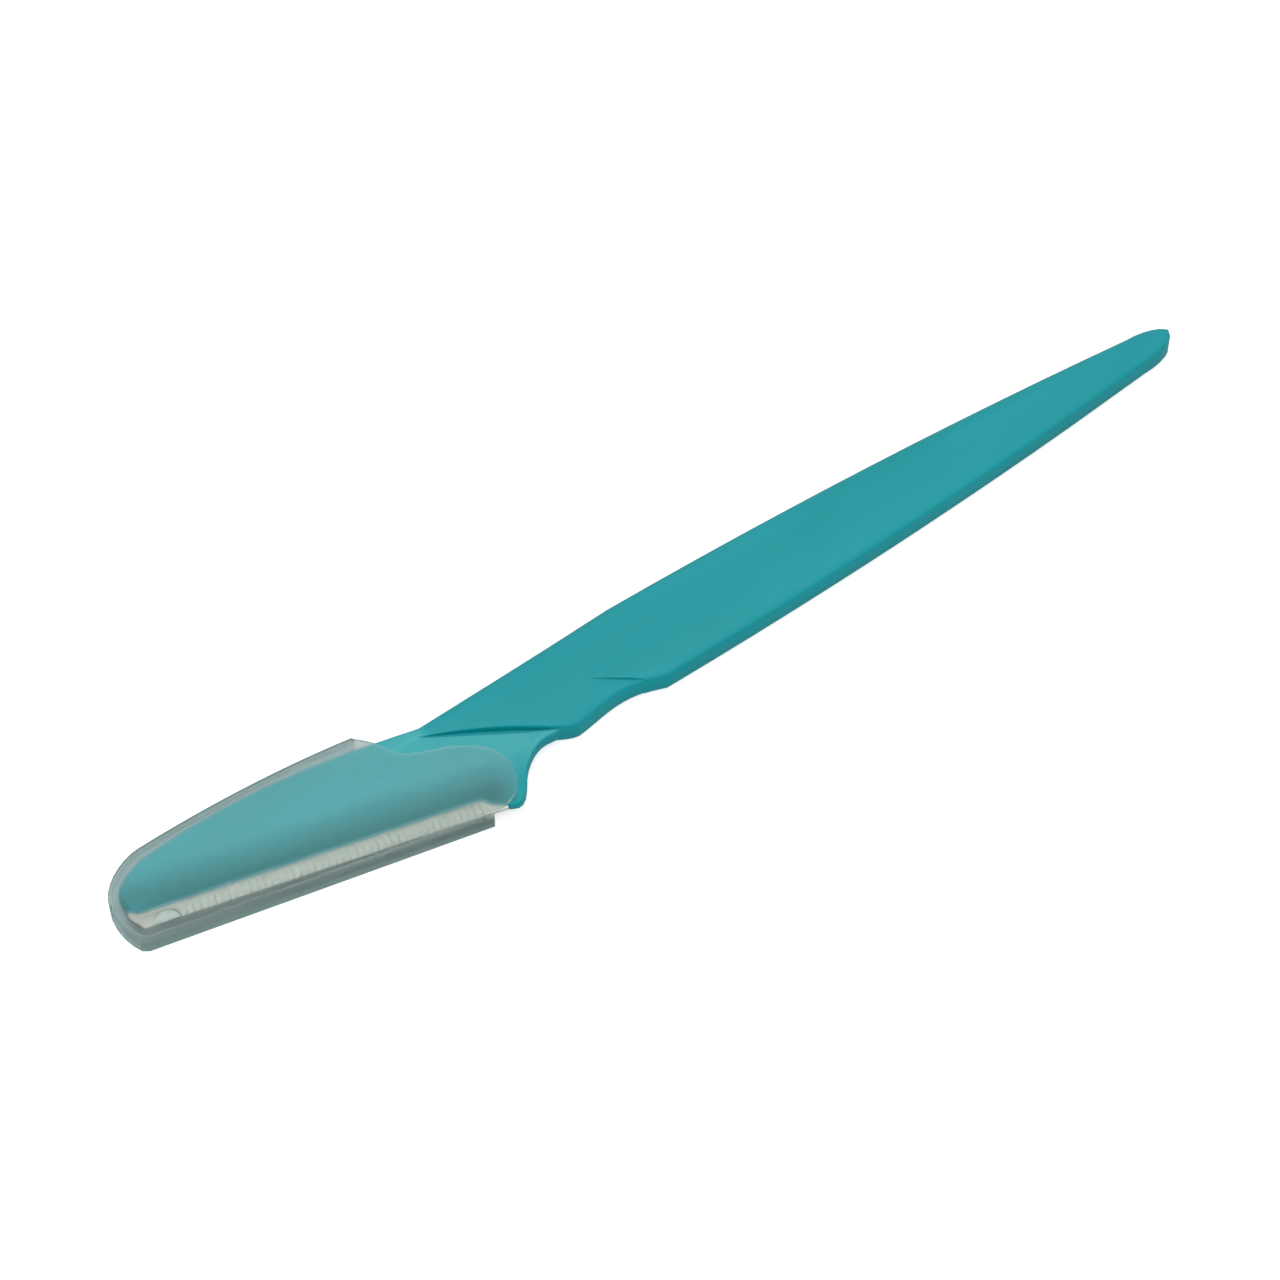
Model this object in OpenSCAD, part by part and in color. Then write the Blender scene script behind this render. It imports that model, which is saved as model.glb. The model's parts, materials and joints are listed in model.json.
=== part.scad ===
// Eyebrow razor: a slim moulded handle, a steel blade with a folded comb guard over its edge, and a cap.
// +X runs along the grip to its tail, +Y to the spine, +Z up. The origin lies on the underside of the grip,
// on its centre line.

/* [Grip] */
// Length from the shoulder behind the finger scallops to the end of the tail
grip_l = 84.1; // [70:0.2:110]
// Distance from the origin forward to the shoulder
shoulder_ahead = 12.2; // [8:0.2:20]
// Width at the shoulder, where the grip is widest
grip_w = 12.3; // [10:0.1:15]
// Width where the round end of the tail starts
tail_w = 4.3; // [3:0.1:6]
// Length of the round end of the tail
tail_round_l = 5.4; // [2:0.1:6]
// Thickness of the grip
grip_t = 3.2; // [2.8:0.1:4]
// Width of the soft bevel round the upper face
bevel_w = 1.1; // [0.6:0.1:1.4]
// Depth of that bevel
bevel_h = 0.7; // [0.4:0.1:1]
// Radius of the lower edges
under_r = 0.45; // [0.2:0.05:0.6]

/* [Neck] */
// Length from the shoulder to the bend where the spine turns into the head
neck_l = 27.2; // [24:0.2:34]
// How far the spine comes in over the neck
neck_fall = 0.9; // [0.2:0.1:1.2]
// Length of the second finger scallop, from the bump to the shoulder
scallop_l = 12.6; // [10:0.2:16]
// Depth of the second finger scallop
scallop_depth = 1.15; // [0.5:0.1:1.8]
// How far the bump stands in from the shoulder
bump_in = 0.45; // [0:0.05:1]
// Length of the diagonal lip along the grip, from the bump to where it runs out at the spine
lip_l = 17.2; // [14:0.2:20]
// Width of the lip across the grip
lip_w = 10.1; // [8:0.1:11]
// Width of the rounding along the upper edge of the lip
lip_round = 0.25; // [0.2:0.05:0.6]
// Depth of the groove along the foot of the lip, at its middle
groove_d = 0.35; // [0.1:0.05:0.4]
// Width of that groove
groove_w = 0.8; // [0.4:0.05:1.2]
// Depth of the crease beside the second scallop, at its deep end
crease_depth = 0.65; // [0.1:0.05:0.8]

/* [Head] */
// Angle between the blade and the grip
head_angle = 14.2; // [8:0.1:20]
// Distance from the shoulder forward to the heel corner of the blade
heel_ahead = 27.8; // [24:0.2:34]
// Distance from the centre line down to the heel corner of the blade
heel_below = 10.4; // [8:0.1:12]
// Length of the head from the heel corner to the tip of its nose
head_l = 43.55; // [36:0.1:55]
// Width of the head plate from its blade seat to its spine
plate_w = 12.2; // [11:0.1:14]
// Thickness of the head plate along its spine
plate_t = 2; // [1.8:0.1:2.6]
// Thickness of the head plate at the blade seat
plate_edge_t = 1.3; // [1.2:0.05:1.8]
// Radius of the head plate's edges
plate_r = 0.3; // [0.1:0.05:0.4]
// Width of the slope from the plate's full thickness down to its blade seat
slope_w = 3.5; // [2:0.1:6]
// Fall of the spine from the neck to the nose
spine_fall = 5.3; // [4:0.1:7]
// Length of the rounded nose
nose_l = 4.3; // [3:0.05:7]
// How far the heel drops below the blade seat
heel_drop = 2; // [1.5:0.05:3]

/* [Blade and guard] */
// Thickness of the blade
blade_t = 0.3; // [0.2:0.05:0.4]
// Height of the blade from its edge to its back
blade_w = 6; // [5:0.1:6.5]
// Height of the ground bevel
grind_w = 1.1; // [0.6:0.1:2]
// Radius of the holes in the blade
hole_r = 1; // [0.6:0.05:1.4]
// Number of holes in the blade
hole_count = 3; // [2:1:4]
// Thickness of the sheet that the guard is folded from
sheet_t = 0.15; // [0.1:0.01:0.2]
// Height of the guard that shows below the head plate
band_w = 2; // [1.8:0.1:3]
// Height of the guard that is held in the head plate
rail_w = 0.55; // [0.4:0.05:0.9]
// Distance from one rib of the guard to the next
rib_pitch = 0.85; // [0.7:0.05:1.4]
// Width of each slot between the ribs
rib_gap = 0.4; // [0.3:0.05:0.5]
// Length of the plain tab at the nose end of the guard, with its arched window
tab_l = 6; // [4.6:0.1:7]
// Width of the arched window
arch_w = 3.2; // [2:0.1:3.4]
// Height of the arched window
arch_h = 1.6; // [1:0.1:1.7]
// How far blade and guard run on into the heel
heel_run = 1.8; // [1:0.1:3]

/* [Cap] */
// Thickness of the cap's walls
cap_wall = 0.4; // [0.3:0.05:0.6]
// Gap between the cap's faces and the head plate
cap_gap = 0.2; // [0.1:0.05:0.3]
// Gap between the cap's blade-side wall and the guard, at the heel
edge_gap = 0.4; // [0.2:0.05:0.8]
// Angle between the cap's blade-side wall and the blade
cap_tilt = 1.7; // [0.2:0.1:2.2]
// Room between the head's spine and the cap's inner wall
spine_gap = 1.5; // [0.8:0.05:1.8]
// Room between the head's nose and the cap's inner wall
nose_gap = 0.9; // [0.6:0.05:1.5]
// Radius of the cap's outer edges
cap_r = 0.25; // [0.1:0.05:0.3]
// How far the tongue at the mouth stands out past the blade-side wall
tongue_l = 4.2; // [3:0.1:5]
// How far the mouth is cut back at the spine
cut_back = 11.6; // [9:0.1:14]

/* [Hidden] */

// One overrun serves all cuts
overrun = grip_t / 4;
mid_z = grip_t / 2;
// Clearance round the blade and the guard, as a share of the sheet's thickness
fit_share = 0.2;
fit = sheet_t * fit_share;

// Places along the grip
shoulder_x = -shoulder_ahead;
tail_x = shoulder_x + grip_l;
tail_round_x = tail_x - tail_round_l;
bump_x = shoulder_x - scallop_l;
lip_end_x = bump_x - lip_l;
shoulder_y = -grip_w / 2;
bump_y = shoulder_y + bump_in;
bend_y = grip_w / 2 - neck_fall;
lip_end_y = bump_y + lip_w;
// How deep the lip's end and the pips' ends lie inside the plate, as shares of its edge radius and thickness
sink_share = 0.2;
pip_share = 0.67;
lip_sink = plate_r * sink_share;

// Shares of the lip's length and width that its foot passes through, from the bump to the spine
lip_shares = [[0, 0], [0.05, 0.02], [0.13, 0.09], [0.22, 0.2], [0.4, 0.43], [0.59, 0.64], [0.79, 0.83],
              [1, 1]];
// Power of the curve by which the lip gets lower towards the spine
lip_power_share = 2.5;
// Where the groove runs, as shares of the lip's length, and the power by which it swells to its middle
groove_shares = [0.13, 0.93];
groove_power_share = 0.6;
// Share of the lip's length over which its bevel narrows
lip_turn_share = 0.2;
// How much of the taper to the tail is a straight line, and the rest a curve
taper_share = 0.05;
// Power of the curve along the second scallop, which puts its deepest point off its middle
scallop_power_share = 1.25;
// Where the folds of the second scallop's land meet, as shares of the scallop's length and the grip's width
fold_shares = [0.34, 0.385];
// Width below which the bevel narrows with the grip, as a share of the width at the shoulder
narrow_share = 0.38;

// Places on the head, measured along the blade from the heel corner and up from the cap's blade-side wall
edge_v = cap_wall + edge_gap;
seat_v = edge_v + band_w;
spine_v = seat_v + plate_w;
nose_u = nose_l - head_l;
// Height of the nose's tip above the blade seat, as a share of the plate's width
nose_v_share = 0.23;
nose_v = seat_v + plate_w * nose_v_share;
// Where the spine of the head starts to fall, as a share of its length, and the power of its curve
neck_share = 0.075;
neck_u = -head_l * neck_share;
spine_power_share = 2.5;
// How full the lower half of the nose is, as a share of the nose's height over the blade side
nose_low_share = 1.45;

// Outline of the heel and the first scallop: shares of the heel's drop, along the blade and up from the seat
heel_shares = [[-0.75, 0], [-0.45, -0.04], [-0.23, -0.19], [-0.07, -0.4], [0.1, -0.55], [0.4, -0.66],
               [0.75, -0.8], [1.22, -0.98], [1.65, -1], [2.04, -0.72], [2.42, -0.03], [2.84, 0.97],
               [3.56, 1.92], [4.3, 2.5], [4.95, 2.7], [5.49, 2.77], [6.24, 3.27], [7.1, 3.88]];
// The stations along the heel stand closer at its start
heel_power_share = 1.6;
heel_in_u = heel_shares[0][0] * heel_drop;
heel_out_u = heel_shares[len(heel_shares) - 1][0] * heel_drop;

guard_gap = blade_t / 2 + fit;
guard_half = guard_gap + sheet_t;
// Where the guard and the blade end in the nose, as shares of its length
guard_tip_share = 0.06;
blade_tip_share = 0.34;
guard_tip_u = -head_l + nose_l * guard_tip_share;
blade_tip_u = -head_l + nose_l * blade_tip_share;
// Slanted cut across the tip of the guard, along the blade and down from the seat: shares of its height
tip_cut_shares = [[0, -0.1], [0.6, -1]];
rib_count = floor((-guard_tip_u - tab_l) / rib_pitch);
blade_back_v = edge_v + fit + sheet_t + blade_w;
// Places of the holes, as shares of their spacing along the blade and of its height above the guard
hole_shares = [0.6, 0.5];
hole_v = mix(seat_v + rail_w, blade_back_v, hole_shares[1]);

cap_t = plate_t + 2 * (cap_gap + cap_wall);
cap_top_v = spine_v + spine_gap + cap_wall;
// The cap's spine falls a share of the head's fall, along a rounder curve, and its nose is less full below
cap_fall_share = 0.94;
cap_power_share = 1.9;
cap_low_share = 1.3;
// The mouth's outline: heights as shares of the cap's height, each with its place along the blade as a share
// of the tongue's length, or of the cut back where that is negative
mouth_shares = [[0, -0.02], [0.02, 0.26], [0.055, 0.53], [0.1, 0.75], [0.18, 0.94], [0.28, 1], [0.36, 0.98],
                [0.45, 0.83], [0.53, 0.57], [0.6, 0.05], [0.65, -0.2], [0.68, -0.5], [0.74, -0.64],
                [0.88, -0.81], [0.98, -1]];

// Power by which the steps along the mouth stand closer at its start
mouth_power_share = 1.5;
// A closed end has its first station this share of a step in from its tip
tip_step_share = 0.1;
// Steps along each outline
grip_steps = 12;
groove_steps = 14;
scallop_steps = 14;
lip_steps = 22;
tail_steps = 7;
round_steps = 2;
bevel_steps = 4;
spine_steps = 14;
heel_steps = 30;
mouth_steps = 40;
nose_steps = 8;

function mix(a, b, s) = a + (b - a) * s;

// A smooth curve through points with rising x: its height at x
function point_at(c, i) = c[min(max(i, 0), len(c) - 1)];
function slope_at(c, i) =
    let (a = point_at(c, i - 1), b = point_at(c, i + 1)) (b[1] - a[1]) / (b[0] - a[0]);
function span_of(c, x, i = 0) = i >= len(c) - 2 || x <= c[i + 1][0] ? i : span_of(c, x, i + 1);
function height_at(c, x) =
    let (i = span_of(c, x), w = c[i + 1][0] - c[i][0], s = (x - c[i][0]) / w)
    c[i][1] * (2 * s ^ 3 - 3 * s ^ 2 + 1) + slope_at(c, i) * w * (s ^ 3 - 2 * s ^ 2 + s)
    + c[i + 1][1] * (3 * s ^ 2 - 2 * s ^ 3) + slope_at(c, i + 1) * w * (s ^ 3 - s ^ 2);

// The grip's outline: the spine above, and the blade side with scallop, bump and lip below
function taper(x) =
    let (s = min(x - shoulder_x, tail_round_x - shoulder_x) / (tail_round_x - shoulder_x),
         round = max(x - tail_round_x, 0) / tail_round_l)
    mix(grip_w, tail_w, taper_share * s + (1 - taper_share) * s ^ 2) / 2 * sqrt(max(1 - round ^ 2, 0));
function grip_spine(x) =
    x > shoulder_x ? taper(x) : mix(grip_w / 2, bend_y, sin(90 * (shoulder_x - x) / neck_l));
function grip_edge(x) =
    x > shoulder_x ? -taper(x)
    : x > bump_x ? mix(bump_y, shoulder_y, (x - bump_x) / scallop_l)
        + scallop_depth * sin(180 * ((x - bump_x) / scallop_l) ^ scallop_power_share)
    : mix(bump_y, lip_end_y, height_at(lip_shares, (bump_x - x) / lip_l));
function grip_half(x) =
    x > bump_x ? mid_z : mix(mid_z, plate_t / 2 - lip_sink, ((bump_x - x) / lip_l) ^ lip_power_share);
// The lower edge's bevel narrows to the lip's rounding over the first part of the lip
function lip_mix(x) = min(max((bump_x - x) / (lip_l * lip_turn_share), 0), 1);
grip_x = concat(
    [for (i = [0:lip_steps - 1]) mix(lip_end_x, bump_x, (i + tip_step_share) / lip_steps)],
    [for (i = [0:scallop_steps - 1]) mix(bump_x, shoulder_x, i / scallop_steps)],
    [for (i = [0:grip_steps - 1]) mix(shoulder_x, tail_round_x, i / grip_steps)],
    [for (i = [0:tail_steps - 1])
        tail_round_x + tail_round_l * sin(90 * i / (tail_steps - 1 + tip_step_share))]);

// The head's outline in its own directions: a falling spine, an elliptic nose and a straight blade side.
// out, nose_out and low move it outwards, which gives the inside and the outside of the cap.
function nose_round(u, out) = sqrt(max(1 - (max(nose_u - u, 0) / (nose_l + out)) ^ 2, 0));
function head_spine(u, top, out, fall = spine_fall, power = spine_power_share) =
    let (s = max(neck_u - u, 0) / (neck_u - nose_u), line = top - fall * s ^ power)
    mix(nose_v, line, nose_round(u, out));
function head_low(u, low, out, full = nose_low_share) =
    max(low, mix(nose_v, mix(nose_v, low, full), nose_round(u, out)));
function nose_stations(out) =
    [for (i = [0:nose_steps - 1]) nose_u - (nose_l + out) * cos(90 * (i + tip_step_share) / nose_steps)];

plate_u = concat(
    nose_stations(0),
    [for (i = [0:spine_steps - 1]) mix(nose_u, heel_in_u, i / spine_steps)],
    [for (i = [0:heel_steps]) mix(heel_in_u, heel_out_u, (i / heel_steps) ^ heel_power_share)]);
// The plate's edge is thin along the blade, and gets thicker up the first scallop to the lip
function edge_half(u) =
    mix(plate_edge_t, plate_t, min(max((u - heel_run) / (heel_out_u - heel_run), 0), 1)) / 2;
function plate_edge(u) =
    u > heel_in_u ? seat_v + heel_drop * height_at(heel_shares, u / heel_drop) : head_low(u, seat_v, 0);

// A closed skin over a row of rings, each ring with as many points as the next
module skin(rings) {
    m = len(rings[0]);
    last = len(rings) - 1;
    polyhedron(
        points = [for (r = rings) for (p = r) p],
        faces = concat(
            [[for (k = [0:m - 1]) k]],
            [[for (k = [0:m - 1]) last * m + m - 1 - k]],
            [for (i = [0:last - 1]) for (k = [0:m - 1]) let (n = (k + 1) % m)
                [i * m + k, (i + 1) * m + k, (i + 1) * m + n, i * m + n]]));
}

// Outward directions along an outline that runs to +X with its solid on its right (side 1) or left (side -1)
function outward(p, side) = [for (i = [0:len(p) - 1])
    let (d = p[min(i + 1, len(p) - 1)] - p[max(i - 1, 0)]) side * [-d[1], d[0]] / norm(d)];

// Points up an edge: a round below and a bevel of width w and depth h above
function edge_points(p, out, half, r, w, h) = concat(
    [for (k = [0:round_steps]) let (a = 90 * k / round_steps, q = p - out * r * (1 - sin(a)))
        [q[0], q[1], mid_z - half + r * (1 - cos(a))]],
    [for (k = [0:bevel_steps]) let (a = 90 * k / bevel_steps, q = p - out * w * (1 - cos(a)))
        [q[0], q[1], mid_z + half - h * (1 - sin(a))]]);
function reversed(v) = [for (i = [len(v) - 1:-1:0]) v[i]];

module grip() {
    upper = [for (x = grip_x) [x, grip_spine(x)]];
    lower = [for (x = grip_x) [x, grip_edge(x)]];
    out_up = outward(upper, 1);
    out_low = outward(lower, -1);
    skin([for (i = [0:len(grip_x) - 1])
        let (s = sqrt(min(norm(upper[i] - lower[i]) / (grip_w * narrow_share), 1)),
             half = grip_half(grip_x[i]), turn = lip_mix(grip_x[i]))
        concat(
            edge_points(upper[i], out_up[i], half, under_r * s, bevel_w * s, bevel_h),
            reversed(edge_points(lower[i], out_low[i], half, under_r * s,
                mix(bevel_w, lip_round, turn) * s, mix(bevel_h, lip_round, turn))))]);
}

// Moves what follows into the head's own directions, turned back by tilt
module on_head(tilt = 0) {
    translate([shoulder_x - heel_ahead, -heel_below, 0]) rotate([0, 0, tilt - head_angle]) children();
}

module head_plate() {
    upper = [for (u = plate_u) [u, head_spine(u, spine_v, 0)]];
    lower = [for (u = plate_u) [u, plate_edge(u)]];
    out_up = outward(upper, 1);
    out_low = outward(lower, -1);
    half = plate_t / 2;
    skin([for (i = [0:len(plate_u) - 1])
        let (ridge = mix(lower[i], upper[i], slope_w / plate_w))
        concat(
            edge_points(upper[i], out_up[i], half, plate_r, plate_r, plate_r),
            [[ridge[0], ridge[1], mid_z + half]],
            reversed(edge_points(lower[i], out_low[i], edge_half(plate_u[i]), plate_r, plate_r, plate_r)),
            [[ridge[0], ridge[1], mid_z - half]])]);
}

// The tilted land of the second scallop, cut down to its crease
module scallop_land() {
    fold = [bump_x + scallop_l * fold_shares[0], bump_y + grip_w * fold_shares[1]];
    deep = [shoulder_x, shoulder_y - overrun];
    flush = [bump_x, bump_y - overrun];
    foot = [[fold[0], fold[1], grip_t], [deep[0], deep[1], grip_t - crease_depth],
            [flush[0], flush[1], grip_t]];
    polyhedron(
        points = concat(foot, [for (p = foot) [p[0], p[1], grip_t + overrun]]),
        faces = [[2, 1, 0], [3, 4, 5], [1, 4, 3, 0], [2, 5, 4, 1], [0, 3, 5, 2]]);
}

// The groove that is cut into the plate along the foot of the lip
module lip_groove() {
    foot = [for (i = [0:groove_steps])
        let (x = bump_x - lip_l * mix(groove_shares[1], groove_shares[0], i / groove_steps)) [x, grip_edge(x)]];
    out = outward(foot, -1);
    top = mid_z + plate_t / 2;
    rise = groove_d * sink_share;
    skin([for (i = [0:groove_steps])
        let (swell = sin(180 * (i + tip_step_share) / (groove_steps + 2 * tip_step_share)) ^ groove_power_share,
             near = foot[i] - out[i] * fit, far = foot[i] + out[i] * groove_w * swell * (1 + sink_share))
        [[near[0], near[1], top - groove_d * swell], [near[0], near[1], top + rise * swell],
         [far[0], far[1], top + rise * swell]]]);
}

// What is cut into the upper face is cut into the lower face as well
module both_faces() {
    children();
    translate([0, 0, 2 * mid_z]) mirror([0, 0, 1]) children();
}

function hole_u(i) = mix(blade_tip_u, 0, (i + hole_shares[0]) / hole_count);

// The space in the head plate for the blade, and its wider mouth for the guard's rails
module blade_slot() {
    translate([blade_tip_u - fit, edge_v, mid_z - blade_t / 2 - fit])
        cube([heel_run - blade_tip_u + 2 * fit, blade_back_v + fit - edge_v, blade_t + 2 * fit]);
    translate([guard_tip_u - fit, edge_v - fit, mid_z - guard_half - fit])
        cube([heel_run - guard_tip_u + 2 * fit, seat_v + rail_w + 2 * fit - edge_v, 2 * (guard_half + fit)]);
}

module pips() {
    for (i = [0:hole_count - 1])
        translate([hole_u(i), hole_v, mid_z - plate_edge_t * pip_share / 2])
            cylinder(r = hole_r - fit, h = plate_edge_t * pip_share, $fn = 48);
}

module handle() color("#2f9aa4") {
    difference() {
        union() {
            grip();
            on_head() head_plate();
        }
        on_head() blade_slot();
        both_faces() {
            scallop_land();
            lip_groove();
        }
    }
    on_head() pips();
}

module blade() color("#c3c7c6") {
    edge_at = edge_v + sheet_t + fit;
    on_head() difference() {
        translate([blade_tip_u, 0, mid_z]) rotate([90, 0, 90]) linear_extrude(heel_run - blade_tip_u)
            polygon([[edge_at, 0], [edge_at + grind_w, blade_t / 2], [blade_back_v, blade_t / 2],
                     [blade_back_v, -blade_t / 2], [edge_at + grind_w, -blade_t / 2]]);
        for (i = [0:hole_count - 1])
            translate([hole_u(i), hole_v, 0]) cylinder(r = hole_r, h = grip_t, $fn = 48);
    }
}

// The fold of the guard, seen along the blade
module guard_fold(half) {
    translate([edge_v + guard_half, 0]) circle(r = half, $fn = 24);
    translate([edge_v + guard_half, -half]) square([seat_v + rail_w - edge_v - guard_half, 2 * half]);
}

module blade_guard() color("#b4b8b6") {
    on_head() difference() {
        translate([guard_tip_u, 0, mid_z]) rotate([90, 0, 90]) linear_extrude(heel_run - guard_tip_u)
            difference() {
                guard_fold(guard_half);
                guard_fold(guard_gap);
                translate([seat_v + rail_w - overrun, -guard_gap]) square([2 * overrun, 2 * guard_gap]);
            }
        for (i = [0:rib_count - 1])
            translate([guard_tip_u + tab_l + i * rib_pitch, edge_v - overrun, 0])
                cube([rib_gap, overrun + band_w - sheet_t, grip_t]);
        translate([guard_tip_u + tab_l - rib_gap - arch_w / 2, edge_v, 0]) {
            translate([0, arch_h - arch_w / 2, 0]) cylinder(r = arch_w / 2, h = grip_t, $fn = 48);
            translate([-arch_w / 2, -overrun, 0]) cube([arch_w, overrun + arch_h - arch_w / 2, grip_t]);
        }
        translate([guard_tip_u, seat_v, 0]) linear_extrude(grip_t)
            polygon(concat(band_w * tip_cut_shares, [[tip_cut_shares[1][0] * band_w, -band_w - overrun],
                [-overrun, -band_w - overrun], [-overrun, tip_cut_shares[0][1] * band_w]]));
    }
}

// The cap's blank, from its nose to past its mouth; wall shrinks it to its inside
module cap_blank(wall, r) {
    out = nose_gap + cap_wall - wall;
    us = concat(nose_stations(out),
        [for (i = [0:spine_steps - 1]) mix(nose_u, neck_u, i / spine_steps)],
        [neck_u, tongue_l + overrun]);
    fall = spine_fall * cap_fall_share;
    upper = [for (u = us) [u, head_spine(u, cap_top_v - wall, out, fall, cap_power_share)]];
    lower = [for (u = us) [u, head_low(u, wall, out, cap_low_share)]];
    out_up = outward(upper, 1);
    out_low = outward(lower, -1);
    half = cap_t / 2 - wall;
    skin([for (i = [0:len(us) - 1]) concat(
        edge_points(upper[i], out_up[i], half, r, r, r),
        reversed(edge_points(lower[i], out_low[i], half, r, r, r)))]);
}

module cap() color("#a9bdb9", 0.6) {
    past_u = tongue_l + 2 * overrun;
    curve = [for (p = mouth_shares) [p[0], p[1] * (p[1] > 0 ? tongue_l : cut_back)]];
    mouth = [for (i = [0:mouth_steps])
        let (v = curve[len(curve) - 1][0] * (i / mouth_steps) ^ mouth_power_share)
        [height_at(curve, v), v * cap_top_v]];
    on_head(cap_tilt) difference() {
        cap_blank(0, cap_r);
        cap_blank(cap_wall, cap_r / 2);
        translate([0, 0, mid_z - cap_t]) linear_extrude(2 * cap_t)
            polygon(concat(mouth, [[-cut_back, cap_top_v + overrun], [past_u, cap_top_v + overrun],
                [past_u, -overrun], [mouth[0][0], -overrun]]));
        translate([mouth[0][0], -overrun, mid_z - cap_t])
            cube([past_u - mouth[0][0], cap_top_v, cap_t + cap_t / 2 - cap_wall]);
    }
}

handle();
blade();
blade_guard();
cap();
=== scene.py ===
"""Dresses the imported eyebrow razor: satin handle, steel blade, comb guard and frosted cap."""

import json
import math

import bpy
from bpy.props import FloatProperty, FloatVectorProperty, PointerProperty
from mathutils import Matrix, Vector

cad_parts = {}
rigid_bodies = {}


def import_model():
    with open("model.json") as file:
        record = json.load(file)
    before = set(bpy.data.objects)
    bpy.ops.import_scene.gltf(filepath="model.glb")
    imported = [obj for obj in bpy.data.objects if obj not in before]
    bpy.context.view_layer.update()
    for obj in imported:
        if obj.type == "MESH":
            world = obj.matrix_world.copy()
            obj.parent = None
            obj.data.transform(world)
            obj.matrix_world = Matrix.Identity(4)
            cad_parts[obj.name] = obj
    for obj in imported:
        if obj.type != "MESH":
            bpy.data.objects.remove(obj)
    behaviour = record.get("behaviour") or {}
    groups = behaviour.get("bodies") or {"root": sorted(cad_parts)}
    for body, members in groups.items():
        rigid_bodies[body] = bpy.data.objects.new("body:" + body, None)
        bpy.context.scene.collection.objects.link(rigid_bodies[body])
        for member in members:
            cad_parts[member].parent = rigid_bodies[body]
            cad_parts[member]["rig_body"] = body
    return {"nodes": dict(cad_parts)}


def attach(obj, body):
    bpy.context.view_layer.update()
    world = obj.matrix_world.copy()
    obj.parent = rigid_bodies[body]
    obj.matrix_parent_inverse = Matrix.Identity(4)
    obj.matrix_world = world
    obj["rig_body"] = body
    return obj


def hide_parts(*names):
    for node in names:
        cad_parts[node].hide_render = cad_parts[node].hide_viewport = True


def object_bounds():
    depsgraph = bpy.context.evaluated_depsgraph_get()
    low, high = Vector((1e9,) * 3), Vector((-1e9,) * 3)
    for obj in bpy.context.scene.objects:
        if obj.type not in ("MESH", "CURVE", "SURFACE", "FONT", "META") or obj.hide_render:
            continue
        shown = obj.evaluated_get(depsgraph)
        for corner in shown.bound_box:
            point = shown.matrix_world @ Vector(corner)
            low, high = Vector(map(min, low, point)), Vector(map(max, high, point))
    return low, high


bl_info = {
    "name": "Eyebrow Razor",
    "version": (1, 0, 0),
    "blender": (4, 5, 0),
    "location": "3D View > Sidebar > Razor",
    "description": "Finishes the pieces of an eyebrow razor and sets it on a pale studio floor",
    "category": "Object",
}

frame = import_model()
CAD_BOX = [list(corner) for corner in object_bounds()]
MM = 0.001

# The blade's own directions, turned by its angle to the grip: along it towards its heel, and
# across it from its edge towards its back
BLADE_ANGLE = math.radians(-14.2)
ALONG_BLADE = (math.cos(BLADE_ANGLE), math.sin(BLADE_ANGLE), 0)
ACROSS_BLADE = (-math.sin(BLADE_ANGLE), math.cos(BLADE_ANGLE), 0)

# Heights: the razor's middle plane, the top of the cap's inside, the band under it in which the
# wall along the spine is painted darker as an outline, and the foot of the wall along the blade,
# where its painted shade is darkest
MIDDLE = (CAD_BOX[0][2] + CAD_BOX[1][2]) / 2
CAP_INNER_TOP = CAD_BOX[1][2] - 0.4 * MM
RIM_START = CAP_INNER_TOP - 0.55 * MM
RIM_END = CAP_INNER_TOP - 0.05 * MM
EDGE_WALL_FOOT = 0.6 * MM

# How far from the middle plane the head plate's faces still lie, and where other faces begin
PLATE_REACH = 1.05 * MM
BEYOND_PLATE = 1.15 * MM

# Places across the blade, from the spine side to the edge side
MOUTH_SPINE_SIDE = -4 * MM
STRIP_BACK = -11.9 * MM
SPINE_WALL = -13 * MM
GUARD_BACK = -16.5 * MM
MOUTH_EDGE_SIDE = -19.3 * MM
EDGE_WALL = -19.5 * MM
GUARD_EDGE = -19.9 * MM
BEYOND_GUARD = -20.1 * MM

# Places along the blade, from the grip to the nose
PLAIN_HEEL = -32.5 * MM
STRIP_HEEL = -35 * MM
MOUTH_START = -48.6 * MM

# How wide a drift of the melt is, and how far apart the blade's grinding lines lie. The real lines
# are finer, and are drawn as coarse as they need to be to show
MELT_FLOW = 6 * MM
GRINDING_LINE = 0.1 * MM

# Most values of a noise lie between these
NOISE_SPAN = {"From Min": 0.3, "From Max": 0.7}

# A Mix node's colour sockets go by number: its two colours, and the mixed one
FIRST, SECOND, MIXED = 6, 7, 2

# The floor lies this far under the razor, and glows this much for the camera
FLOOR_GAP = 0.05 * MM
FLOOR_GLOW = 0.6

# How bright the white surroundings are for all but the camera
SURROUNDINGS = 0.5
WHITE = (1, 1, 1, 1)

# Name, place in metres, power in watts and width in metres of each soft lamp
LAMPS = (
    ("overhead_softbox", (0.03, 0.14, 0.58), 1.0, 0.4),
    ("front_softbox", (-0.15, -0.36, 0.5), 1.45, 0.6),
)


def colour(code):
    """An sRGB hex code as linear red, green and blue."""
    parts = [int(code[i : i + 2], 16) / 255 for i in (1, 3, 5)]
    return [p / 12.92 if p <= 0.04045 else ((p + 0.055) / 1.055) ** 2.4 for p in parts]


def rgba(linear):
    """A linear colour with full alpha, as a colour socket takes it."""
    return (*linear, 1)


def swatch(name, description, code):
    """A colour property with an sRGB hex code as its default."""
    return FloatVectorProperty(
        name=name, description=description, subtype="COLOR", min=0, max=1, default=colour(code)
    )


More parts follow.
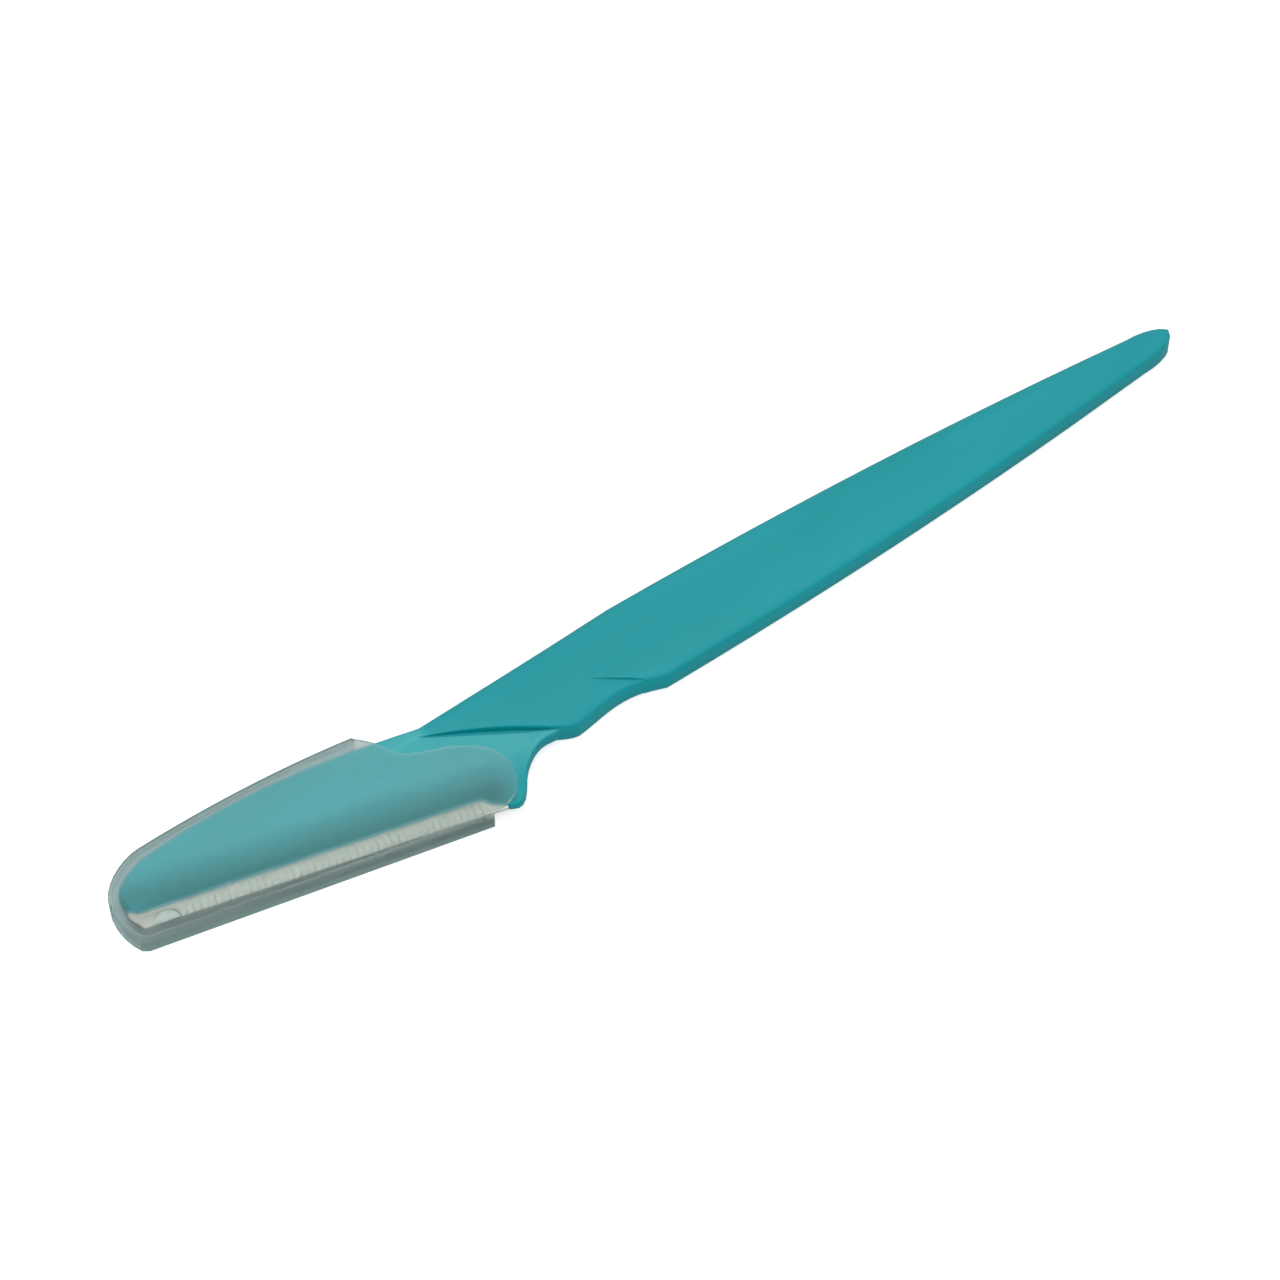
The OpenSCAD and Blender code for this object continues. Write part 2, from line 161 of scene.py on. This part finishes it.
class RazorFinishes(bpy.types.PropertyGroup):
    """Colours and grains of the razor's plastics and steels, some of them painted light and shade.
    """

    handle_teal: swatch("Handle teal", "Colour of the handle's moulded plastic", "#249AA2")
    # Painted shade: the standing sides get this darker teal, as less light falls on them than on
    # the top
    shaded_side_teal: swatch(
        "Side teal",
        "Colour of the handle's standing sides, where the plastic is at its deepest",
        "#00979F",
    )
    # Painted sheen: the flat head plate gets this lighter teal, as a broad highlight
    plate_sheen_teal: swatch(
        "Thin teal",
        "Colour of the plastic in the thin head plate, which some light passes through",
        "#46AEB3",
    )
    # Painted shade: the plate along the guard gets this darker teal, as shade
    guard_shade_teal: swatch(
        "Backed teal",
        "Colour of the thin plastic beside the guard, with dark steel behind it",
        "#04777A",
    )
    blade_steel: swatch("Blade steel", "Colour of the ground blade", "#92968F")
    guard_steel: swatch("Guard steel", "Colour of the pressed comb guard", "#B4B0A7")
    # Painted highlight: the guard's fold gets this brighter steel colour
    fold_highlight_steel: swatch(
        "Fold steel",
        "Colour of the guard's fold along the edge, which the press burnishes",
        "#DCDED7",
    )
    cap_face: swatch("Cap faces", "Tint of the cap's two thin wide faces", "#F6FAFA")
    cap_wall: swatch("Cap wall", "Tint of the cap's wall along the head's spine", "#EEFCFC")
    # Painted shade: the wall along the blade gets this darker tint, standing in for the shaded
    # inside of the cap behind it
    shaded_edge_wall_tint: swatch(
        "Cap edge wall",
        "Tint of the cap's wall along the blade, which is seen through its height",
        "#D0E0DD",
    )
    # Painted shade: a darker tint that outlines the cap along the top of the spine's wall
    cap_rim_outline_shade: swatch(
        "Cap rim", "Tint of the top of the cap's wall along the head's spine", "#90ACA8"
    )
    mould_grain: FloatProperty(
        name="Mould grain",
        description="Grain of the satin that the mould leaves on the handle",
        unit="LENGTH",
        default=0.25 * MM,
        min=0.05 * MM,
        max=1 * MM,
    )
    frost_grain: FloatProperty(
        name="Frost grain",
        description="Grain of the frosting on the cap",
        unit="LENGTH",
        default=0.2 * MM,
        min=0.05 * MM,
        max=1 * MM,
    )
    rolled_line: FloatProperty(
        name="Rolled line",
        description="Spacing of the rolling lines in the guard's sheet",
        unit="LENGTH",
        default=0.12 * MM,
        min=0.02 * MM,
        max=1 * MM,
    )


class RazorShading(bpy.types.PropertyGroup):
    """How the CAD pieces' facets are joined into smooth surfaces."""

    weld: FloatProperty(
        name="Weld distance",
        description="Points closer than this are merged",
        unit="LENGTH",
        default=0.002 * MM,
        min=0,
        max=0.05 * MM,
    )
    flat: FloatProperty(
        name="Flat angle",
        description="Facets turned by less than this are joined into one face",
        subtype="ANGLE",
        default=math.radians(0.4),
        min=0,
        max=math.radians(5),
    )
    crease: FloatProperty(
        name="Crease angle",
        description="Edges sharper than this stay sharp",
        subtype="ANGLE",
        default=math.radians(32),
        min=0,
        max=math.pi,
    )


class RazorStage(bpy.types.PropertyGroup):
    """Where the camera stands and how wide the floor is."""

    target: FloatVectorProperty(
        name="Target",
        description="Point that the camera looks at",
        subtype="TRANSLATION",
        unit="LENGTH",
        default=(-10.45 * MM, 1.76 * MM, 0),
    )
    azimuth: FloatProperty(
        name="Azimuth",
        description="Turn of the camera round the razor",
        subtype="ANGLE",
        default=math.radians(-36.56),
    )
    elevation: FloatProperty(
        name="Elevation",
        description="Angle of the camera above the floor",
        subtype="ANGLE",
        default=math.radians(52),
    )
    distance: FloatProperty(
        name="Distance",
        description="Distance from the camera to its target",
        unit="LENGTH",
        default=450 * MM,
        min=100 * MM,
    )
    lens: FloatProperty(
        name="Lens",
        description="Focal length in millimetres on a 36 mm sensor",
        default=105.55,
        min=20,
    )
    floor_width: FloatProperty(
        name="Floor width",
        description="Width of the pale floor",
        unit="LENGTH",
        default=1600 * MM,
        min=300 * MM,
    )


def add(tree, kind, inputs=(), **settings):
    """Adds a node. Inputs are values or other nodes' outputs, and settings are properties."""
    node = tree.nodes.new(kind)
    for name, value in settings.items():
        setattr(node, name, value)
    for name, value in dict(inputs).items():
        if isinstance(value, bpy.types.NodeSocket):
            tree.links.new(value, node.inputs[name])
        else:
            node.inputs[name].default_value = value
    return node


def new_material(name):
    """An empty material with its tree."""
    material = bpy.data.materials.new(name)
    material.use_nodes = True
    material.node_tree.nodes.clear()
    return material, material.node_tree


def flatness(tree, start, end):
    """0 where start is the share of a face's normal that points up, and 1 where end is. The share
    is 0 on a standing face and 1 on a level one."""
    facing = add(tree, "ShaderNodeNewGeometry").outputs["True Normal"]
    upright = add(tree, "ShaderNodeSeparateXYZ", {"Vector": facing}).outputs["Z"]
    level = add(tree, "ShaderNodeMath", {0: upright}, operation="ABSOLUTE").outputs[0]
    return add(
        tree, "ShaderNodeMapRange", {"Value": level, "From Min": start, "From Max": end}
    ).outputs["Result"]


def satin_abs(finishes):
    """Injection-moulded ABS from a spark-eroded mould: an even satin with a soft broad shine, in
    tones that drift a little where the melt flowed. Light and shade are painted into its colour:
    its standing sides are painted darker, its head plate lighter as a sheen, and the plate along
    the guard darker as shade."""
    material, tree = new_material("satin_moulded_abs")
    place = add(tree, "ShaderNodeTexCoord").outputs["Object"]
    across = add(
        tree, "ShaderNodeVectorMath", {0: place, 1: ACROSS_BLADE}, operation="DOT_PRODUCT"
    ).outputs["Value"]
    lengthwise = add(
        tree, "ShaderNodeVectorMath", {0: place, 1: ALONG_BLADE}, operation="DOT_PRODUCT"
    ).outputs["Value"]
    # The melt's flow runs along the handle, so its tones are drawn out along X
    flow_place = add(
        tree, "ShaderNodeMapping", {"Vector": place, "Scale": (0.25, 1, 1)}
    ).outputs["Vector"]
    flow = add(
        tree,
        "ShaderNodeTexNoise",
        {"Vector": flow_place, "Scale": 1 / MELT_FLOW, "Detail": 3, "Roughness": 0.5},
    ).outputs["Fac"]
    tone = add(
        tree, "ShaderNodeMapRange", {"Value": flow, **NOISE_SPAN, "To Min": 0.95, "To Max": 1.05}
    ).outputs["Result"]
    # The real satin is too fine to show, so its grain is drawn coarser
    grain = add(
        tree,
        "ShaderNodeTexNoise",
        {"Vector": place, "Scale": 1 / finishes.mould_grain, "Detail": 2},
    ).outputs["Fac"]
    # The head plate is the only flat face that lies this near to the handle's middle plane
    depth = add(tree, "ShaderNodeSeparateXYZ", {"Vector": place}).outputs["Z"]
    depth = add(tree, "ShaderNodeMath", {0: depth, 1: MIDDLE}, operation="SUBTRACT").outputs[0]
    depth = add(tree, "ShaderNodeMath", {0: depth}, operation="ABSOLUTE").outputs[0]
    inside = add(
        tree,
        "ShaderNodeMapRange",
        {"Value": depth, "From Min": BEYOND_PLATE, "From Max": PLATE_REACH},
    ).outputs["Result"]
    plate = add(
        tree, "ShaderNodeMath", {0: inside, 1: flatness(tree, 0.93, 0.99)}, operation="MULTIPLY"
    ).outputs[0]
    # Painted shade: over the blade's strip the plate is painted darker towards the edge, where
    # shade falls beside the guard, but the heel keeps the plain teal
    strip = add(
        tree,
        "ShaderNodeMapRange",
        {"Value": across, "From Min": STRIP_BACK, "From Max": GUARD_BACK},
    ).outputs["Result"]
    strip_end = add(
        tree,
        "ShaderNodeMapRange",
        {"Value": lengthwise, "From Min": PLAIN_HEEL, "From Max": STRIP_HEEL},
    ).outputs["Result"]
    # Painted shade beside the guard, which fades out towards the heel
    beside = add(
        tree,
        "ShaderNodeMix",
        {
            "Factor": strip_end,
            FIRST: rgba(finishes.handle_teal),
            SECOND: rgba(finishes.guard_shade_teal),
        },
        data_type="RGBA",
    ).outputs[MIXED]
    # Painted sheen: the head plate is painted lighter away from the blade's strip, and the painted
    # shade takes over towards the edge
    thin = add(
        tree,
        "ShaderNodeMix",
        {"Factor": strip, FIRST: rgba(finishes.plate_sheen_teal), SECOND: beside},
        data_type="RGBA",
    ).outputs[MIXED]
    # Painted shade: the standing sides are painted a darker teal than the top, as less light falls
    # on them
    shaded_sides = add(
        tree,
        "ShaderNodeMix",
        {
            "Factor": flatness(tree, 0.3, 0.9),
            FIRST: rgba(finishes.shaded_side_teal),
            SECOND: rgba(finishes.handle_teal),
        },
        data_type="RGBA",
    ).outputs[MIXED]
    plain = add(
        tree, "ShaderNodeMix", {"Factor": plate, FIRST: shaded_sides, SECOND: thin}, data_type="RGBA"
    ).outputs[MIXED]
    teal = add(tree, "ShaderNodeHueSaturation", {"Color": plain, "Value": tone}).outputs["Color"]
    satin = add(
        tree, "ShaderNodeMapRange", {"Value": grain, **NOISE_SPAN, "To Min": 0.4, "To Max": 0.48}
    ).outputs["Result"]
    bumps = add(
        tree, "ShaderNodeBump", {"Height": grain, "Strength": 0.12, "Distance": 0.01 * MM}
    ).outputs["Normal"]
    plastic = add(
        tree,
        "ShaderNodeBsdfPrincipled",
        {
            "Base Color": teal,
            "Roughness": satin,
            "IOR": 1.54,
            "Specular IOR Level": 0.15,
            "Normal": bumps,
        },
    )
    add(tree, "ShaderNodeOutputMaterial", {"Surface": plastic.outputs["BSDF"]})
    return material


def ground_steel(finishes):
    """Hardened stainless strip, ground across its edge: bright, with fine lines across it."""
    material, tree = new_material("ground_stainless_strip")
    place = add(tree, "ShaderNodeTexCoord").outputs["Object"]
    # Grinding lines run across the strip, which is nearly along Y, so the noise is drawn out there
    drawn_out = add(
        tree, "ShaderNodeMapping", {"Vector": place, "Scale": (1, 0.03, 1)}
    ).outputs["Vector"]
    lines = add(
        tree,
        "ShaderNodeTexNoise",
        {"Vector": drawn_out, "Scale": 1 / GRINDING_LINE, "Detail": 2},
    ).outputs["Fac"]
    shine = add(
        tree, "ShaderNodeMapRange", {"Value": lines, **NOISE_SPAN, "To Min": 0.2, "To Max": 0.34}
    ).outputs["Result"]
    steel = add(
        tree,
        "ShaderNodeBsdfPrincipled",
        {"Base Color": rgba(finishes.blade_steel), "Metallic": 1, "Roughness": shine},
    )
    add(tree, "ShaderNodeOutputMaterial", {"Surface": steel.outputs["BSDF"]})
    return material


def rolled_steel(finishes):
    """Cold-rolled stainless sheet, pressed into a comb: a soft sheen with faint lines along it,
    and a painted highlight on its fold.
    """
    material, tree = new_material("rolled_stainless_sheet")
    place = add(tree, "ShaderNodeTexCoord").outputs["Object"]
    # Rolling lines run along the strip, which is nearly along X, so the noise is drawn out there.
    # The real ones are too fine to show, so they are drawn coarser
    drawn_out = add(
        tree, "ShaderNodeMapping", {"Vector": place, "Scale": (0.03, 1, 1)}
    ).outputs["Vector"]
    lines = add(
        tree,
        "ShaderNodeTexNoise",
        {"Vector": drawn_out, "Scale": 1 / finishes.rolled_line, "Detail": 2},
    ).outputs["Fac"]
    shine = add(
        tree, "ShaderNodeMapRange", {"Value": lines, **NOISE_SPAN, "To Min": 0.34, "To Max": 0.46}
    ).outputs["Result"]
    # Painted highlight: the faces of the fold, turned towards the edge, get a brighter steel
    # colour, so the fold outshines the faces
    facing = add(tree, "ShaderNodeNewGeometry").outputs["True Normal"]
    backward = add(
        tree, "ShaderNodeVectorMath", {0: facing, 1: ACROSS_BLADE}, operation="DOT_PRODUCT"
    ).outputs["Value"]
    fold = add(
        tree, "ShaderNodeMapRange", {"Value": backward, "From Min": -0.3, "From Max": -0.8}
    ).outputs["Result"]
    tone = add(
        tree,
        "ShaderNodeMix",
        {"Factor": fold, FIRST: rgba(finishes.guard_steel), SECOND: rgba(finishes.fold_highlight_steel)},
        data_type="RGBA",
    ).outputs[MIXED]
    steel = add(
        tree, "ShaderNodeBsdfPrincipled", {"Base Color": tone, "Metallic": 1, "Roughness": shine}
    )
    add(tree, "ShaderNodeOutputMaterial", {"Surface": steel.outputs["BSDF"]})
    return material


def cap_tint(tree, place, cut, finishes):
    """Tint of the frosted cap, by where a point of it lies and which way it faces. Shade is
    painted into it: a dark outline at the top of the spine's wall, a wall along the blade that is
    darkest at its foot, and faces tinted darker beyond the guard's edge.
    """
    across = add(
        tree, "ShaderNodeVectorMath", {0: place, 1: ACROSS_BLADE}, operation="DOT_PRODUCT"
    ).outputs["Value"]
    height = add(tree, "ShaderNodeSeparateXYZ", {"Vector": place}).outputs["Z"]
    # Painted shade: the spine's wall is tinted darker at its top, where it is seen through more
    # plastic, and so outlines the cap
    rim = add(
        tree, "ShaderNodeMapRange", {"Value": height, "From Min": RIM_START, "From Max": RIM_END}
    ).outputs["Result"]
    spine_wall = add(
        tree,
        "ShaderNodeMix",
        {"Factor": rim, FIRST: rgba(finishes.cap_wall), SECOND: rgba(finishes.cap_rim_outline_shade)},
        data_type="RGBA",
    ).outputs[MIXED]
    # Painted shade and light: the wall along the blade is tinted darkest at the floor and lighter
    # upwards, standing in for the shade under the cap and the bright guard behind the wall
    rise = add(
        tree,
        "ShaderNodeMapRange",
        {"Value": height, "From Min": EDGE_WALL_FOOT, "From Max": CAP_INNER_TOP},
    ).outputs["Result"]
    edge_wall = add(
        tree,
        "ShaderNodeMix",
        {"Factor": rise, FIRST: rgba(finishes.shaded_edge_wall_tint), SECOND: rgba(finishes.cap_face)},
        data_type="RGBA",
    ).outputs[MIXED]
    spine_side = add(
        tree,
        "ShaderNodeMapRange",
        {"Value": across, "From Min": EDGE_WALL, "From Max": SPINE_WALL},
    ).outputs["Result"]
    wall = add(
        tree,
        "ShaderNodeMix",
        {"Factor": spine_side, FIRST: edge_wall, SECOND: spine_wall},
        data_type="RGBA",
    ).outputs[MIXED]
    # The cut edge of the mouth is kept out of the walls' painted shade and takes the pale face
    # tint, a painted light line where it gathers light from the faces
    wall = add(
        tree,
        "ShaderNodeMix",
        {"Factor": cut, FIRST: wall, SECOND: rgba(finishes.cap_face)},
        data_type="RGBA",
    ).outputs[MIXED]
    # Painted shade: beyond the guard's edge the faces take some of the darker tint of the wall
    # along the blade, standing in for the shaded corner of the cap under them
    beyond_guard_shade = add(
        tree,
        "ShaderNodeMapRange",
        {"Value": across, "From Min": GUARD_EDGE, "From Max": BEYOND_GUARD, "To Max": 0.25},
    ).outputs["Result"]
    face = add(
        tree,
        "ShaderNodeMix",
        {
            "Factor": beyond_guard_shade,
            FIRST: rgba(finishes.cap_face),
            SECOND: rgba(finishes.shaded_edge_wall_tint),
        },
        data_type="RGBA",
    ).outputs[MIXED]
    return add(
        tree,
        "ShaderNodeMix",
        {"Factor": flatness(tree, 0.2, 0.9), FIRST: wall, SECOND: face},
        data_type="RGBA",
    ).outputs[MIXED]


def at_mouth(tree, place):
    """1 at the cap's mouth, between its two walls, and 0 on the rest of the cap."""
    mouth = 1
    for direction, limit, operation in (
        (ALONG_BLADE, MOUTH_START, "GREATER_THAN"),
        (ACROSS_BLADE, MOUTH_EDGE_SIDE, "GREATER_THAN"),
        (ACROSS_BLADE, MOUTH_SPINE_SIDE, "LESS_THAN"),
    ):
        reach = add(
            tree, "ShaderNodeVectorMath", {0: place, 1: direction}, operation="DOT_PRODUCT"
        ).outputs["Value"]
        within = add(tree, "ShaderNodeMath", {0: reach, 1: limit}, operation=operation).outputs[0]
        mouth = add(tree, "ShaderNodeMath", {0: mouth, 1: within}, operation="MULTIPLY").outputs[0]
    return mouth


def frosted_pp(finishes):
    """Thin moulded polypropylene with a frosted skin: what lies under it shows through, softened
    and greyed, and its tint carries painted shade in places."""
    material, tree = new_material("frosted_polypropylene")
    place = add(tree, "ShaderNodeTexCoord").outputs["Object"]
    # The real frosting is too fine to show, so its grain is drawn coarser
    grain = add(
        tree,
        "ShaderNodeTexNoise",
        {"Vector": place, "Scale": 1 / finishes.frost_grain, "Detail": 2},
    ).outputs["Fac"]
    frost = add(
        tree, "ShaderNodeMapRange", {"Value": grain, **NOISE_SPAN, "To Min": 0.34, "To Max": 0.42}
    ).outputs["Result"]
    cut = at_mouth(tree, place)
    tint = cap_tint(tree, place, cut, finishes)
    # The cut edge is left rough by the mould, so it scatters what falls on it
    edge_on = add(
        tree, "ShaderNodeMath", {0: cut, 1: flatness(tree, 0.9, 0.2)}, operation="MULTIPLY"
    ).outputs[0]
    clear = add(
        tree, "ShaderNodeMapRange", {"Value": edge_on, "To Min": 0.985, "To Max": 0.5}
    ).outputs["Result"]
    share = add(
        tree, "ShaderNodeMapRange", {"Value": edge_on, "To Min": 0.3, "To Max": 0.65}
    ).outputs["Result"]
    plastic = add(
        tree,
        "ShaderNodeBsdfPrincipled",
        {
            "Base Color": tint,
            "Roughness": frost,
            "IOR": 1.49,
            "Specular IOR Level": 0.1,
            "Transmission Weight": clear,
        },
    )
    # Thin frosted plastic passes most of the light that falls on it, so the head under it is lit
    # plainly. Only what is looked at through the plastic is softened: its frost scatters a share
    # of the light, and the rest goes straight through, so that the guard's ribs still show
    passing = add(tree, "ShaderNodeBsdfTransparent", {"Color": tint})
    light = add(tree, "ShaderNodeLightPath").outputs
    looked_at = add(
        tree,
        "ShaderNodeMath",
        {0: light["Is Camera Ray"], 1: light["Is Transmission Ray"]},
        operation="MAXIMUM",
    ).outputs[0]
    scattered = add(
        tree, "ShaderNodeMath", {0: looked_at, 1: share}, operation="MULTIPLY"
    ).outputs[0]
    both = add(
        tree,
        "ShaderNodeMixShader",
        {0: scattered, 1: passing.outputs["BSDF"], 2: plastic.outputs["BSDF"]},
    )
    add(tree, "ShaderNodeOutputMaterial", {"Surface": both.outputs["Shader"]})
    return material


def deselect():
    """Leaves object mode with nothing selected and nothing active."""
    if bpy.context.object and bpy.context.object.mode != "OBJECT":
        bpy.ops.object.mode_set(mode="OBJECT")
    bpy.ops.object.select_all(action="DESELECT")
    bpy.context.view_layer.objects.active = None


def welded_copy(node, name, shading):
    """A copy of a CAD node as a piece of its own, with its facets welded, joined where they are
    flat, and shaded smooth."""
    deselect()
    piece = bpy.data.objects.new(name, frame["nodes"][node].data.copy())
    bpy.context.scene.collection.objects.link(piece)
    piece.select_set(True)
    bpy.context.view_layer.objects.active = piece
    bpy.ops.mesh.customdata_custom_splitnormals_clear()
    bpy.ops.object.mode_set(mode="EDIT")
    bpy.ops.mesh.select_all(action="SELECT")
    bpy.ops.mesh.remove_doubles(threshold=shading.weld)
    bpy.ops.mesh.dissolve_limited(angle_limit=shading.flat)
    bpy.ops.object.mode_set(mode="OBJECT")
    bpy.ops.object.shade_smooth_by_angle(angle=shading.crease)
    return piece


def finish_piece(piece, node, material):
    """Gives a piece its material, and puts it on its node's body in its node's place."""
    piece.data.materials.clear()
    piece.data.materials.append(material)
    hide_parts(node)
    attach(piece, frame["nodes"][node]["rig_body"])


class RazorHandle(bpy.types.Operator):
    """Makes the satin teal handle with its lip, scallops and head plate"""

    bl_idname = "razor.handle"
    bl_label = "Handle"

    def execute(self, context):
        piece = welded_copy("handle", "handle_moulding", context.scene.razor_shading)
        finish_piece(piece, "handle", satin_abs(context.scene.razor_finishes))
        return {"FINISHED"}


class RazorBlade(bpy.types.Operator):
    """Finishes the ground steel blade"""

    bl_idname = "razor.blade"
    bl_label = "Blade"

    def execute(self, context):
        piece = welded_copy("blade", "blade_strip", context.scene.razor_shading)
        finish_piece(piece, "blade", ground_steel(context.scene.razor_finishes))
        return {"FINISHED"}


class RazorGuard(bpy.types.Operator):
    """Makes the pressed comb guard over the blade's edge"""

    bl_idname = "razor.guard"
    bl_label = "Comb guard"

    def execute(self, context):
        piece = welded_copy("blade_guard", "comb_guard", context.scene.razor_shading)
        finish_piece(piece, "blade_guard", rolled_steel(context.scene.razor_finishes))
        return {"FINISHED"}


class RazorCap(bpy.types.Operator):
    """Makes the frosted cap that pushes over the head"""

    bl_idname = "razor.cap"
    bl_label = "Cap"

    def execute(self, context):
        piece = welded_copy("cap", "cap_sheath", context.scene.razor_shading)
        finish_piece(piece, "cap", frosted_pp(context.scene.razor_finishes))
        return {"FINISHED"}


class RazorStudio(bpy.types.Operator):
    """Adds the pale floor, the soft lights, the white surroundings and the camera"""

    bl_idname = "razor.studio"
    bl_label = "Stage"

    def execute(self, context):
        stage = context.scene.razor_stage
        deselect()
        bpy.ops.mesh.primitive_plane_add(
            size=stage.floor_width, location=(0, 0, CAD_BOX[0][2] - FLOOR_GAP)
        )
        floor = context.object
        floor.name = "studio_floor"
        bpy.ops.object.transform_apply(location=True)
        material, tree = new_material("pale_paper_floor")
        light = add(tree, "ShaderNodeLightPath").outputs
        # The paper glows a little for the camera, but is plain where it shows through the cap
        uncovered = add(
            tree, "ShaderNodeMath", {0: light["Transparent Depth"], 1: 0.5}, operation="LESS_THAN"
        ).outputs[0]
        seen = add(
            tree, "ShaderNodeMath", {0: light["Is Camera Ray"], 1: uncovered}, operation="MULTIPLY"
        ).outputs[0]
        glow = add(
            tree, "ShaderNodeMath", {0: seen, 1: FLOOR_GLOW}, operation="MULTIPLY"
        ).outputs[0]
        paper = add(
            tree,
            "ShaderNodeBsdfPrincipled",
            {
                "Base Color": rgba(colour("#D8D8D8")),
                "Roughness": 0.9,
                "Emission Color": WHITE,
                "Emission Strength": glow,
            },
        )
        add(tree, "ShaderNodeOutputMaterial", {"Surface": paper.outputs["BSDF"]})
        floor.data.materials.append(material)

        world = bpy.data.worlds.new("white_studio")
        context.scene.world = world
        world.use_nodes = True
        tree = world.node_tree
        tree.nodes.clear()
        light = add(tree, "ShaderNodeLightPath").outputs
        strength = add(
            tree,
            "ShaderNodeMapRange",
            {"Value": light["Is Camera Ray"], "To Min": SURROUNDINGS, "To Max": 1},
        ).outputs["Result"]
        sky = add(tree, "ShaderNodeBackground", {"Color": WHITE, "Strength": strength})
        add(tree, "ShaderNodeOutputWorld", {"Surface": sky.outputs["Background"]})

        for name, place, power, width in LAMPS:
            bpy.ops.object.light_add(type="AREA", location=place)
            lamp = context.object
            lamp.name = name
            lamp.data.shape = "DISK"
            lamp.data.energy = power
            lamp.data.size = width
            lamp.rotation_euler = Vector(place).to_track_quat("Z", "Y").to_euler()

        back = Vector(
            (
                math.sin(stage.azimuth) * math.cos(stage.elevation),
                -math.cos(stage.azimuth) * math.cos(stage.elevation),
                math.sin(stage.elevation),
            )
        )
        bpy.ops.object.camera_add(location=Vector(stage.target) + back * stage.distance)
        camera = context.object
        camera.name = "studio_camera"
        camera.rotation_euler = back.to_track_quat("Z", "Y").to_euler()
        camera.data.lens = stage.lens
        camera.data.clip_start = 10 * MM
        camera.data.clip_end = 10
        context.scene.camera = camera
        context.scene.view_settings.view_transform = "Standard"
        return {"FINISHED"}


class RazorPanel(bpy.types.Panel):
    """Lists the steps that finish the razor"""

    bl_idname = "VIEW3D_PT_razor"
    bl_label = "Eyebrow Razor"
    bl_space_type = "VIEW_3D"
    bl_region_type = "UI"
    bl_category = "Razor"

    def draw(self, context):
        scene = context.scene
        for group in (scene.razor_finishes, scene.razor_shading, scene.razor_stage):
            box = self.layout.box()
            for name in group.bl_rna.properties.keys():
                if name not in ("rna_type", "name"):
                    box.prop(group, name)
        for step in STEPS:
            self.layout.operator(step.bl_idname)


STEPS = (RazorHandle, RazorBlade, RazorGuard, RazorCap, RazorStudio)
GROUPS = {
    "razor_finishes": RazorFinishes,
    "razor_shading": RazorShading,
    "razor_stage": RazorStage,
}
CLASSES = (*GROUPS.values(), *STEPS, RazorPanel)


def register():
    """Registers the classes, and gives every scene the razor's sliders."""
    for kind in CLASSES:
        bpy.utils.register_class(kind)
    for name, group in GROUPS.items():
        setattr(bpy.types.Scene, name, PointerProperty(type=group))


def unregister():
    """Takes the sliders and the classes away again."""
    for name in GROUPS:
        delattr(bpy.types.Scene, name)
    for kind in reversed(CLASSES):
        bpy.utils.unregister_class(kind)


def main():
    """Makes the pieces and the stage in order."""
    register()
    bpy.ops.razor.handle()
    bpy.ops.razor.blade()
    bpy.ops.razor.guard()
    bpy.ops.razor.cap()
    bpy.ops.razor.studio()


if __name__ == "__main__":
    main()
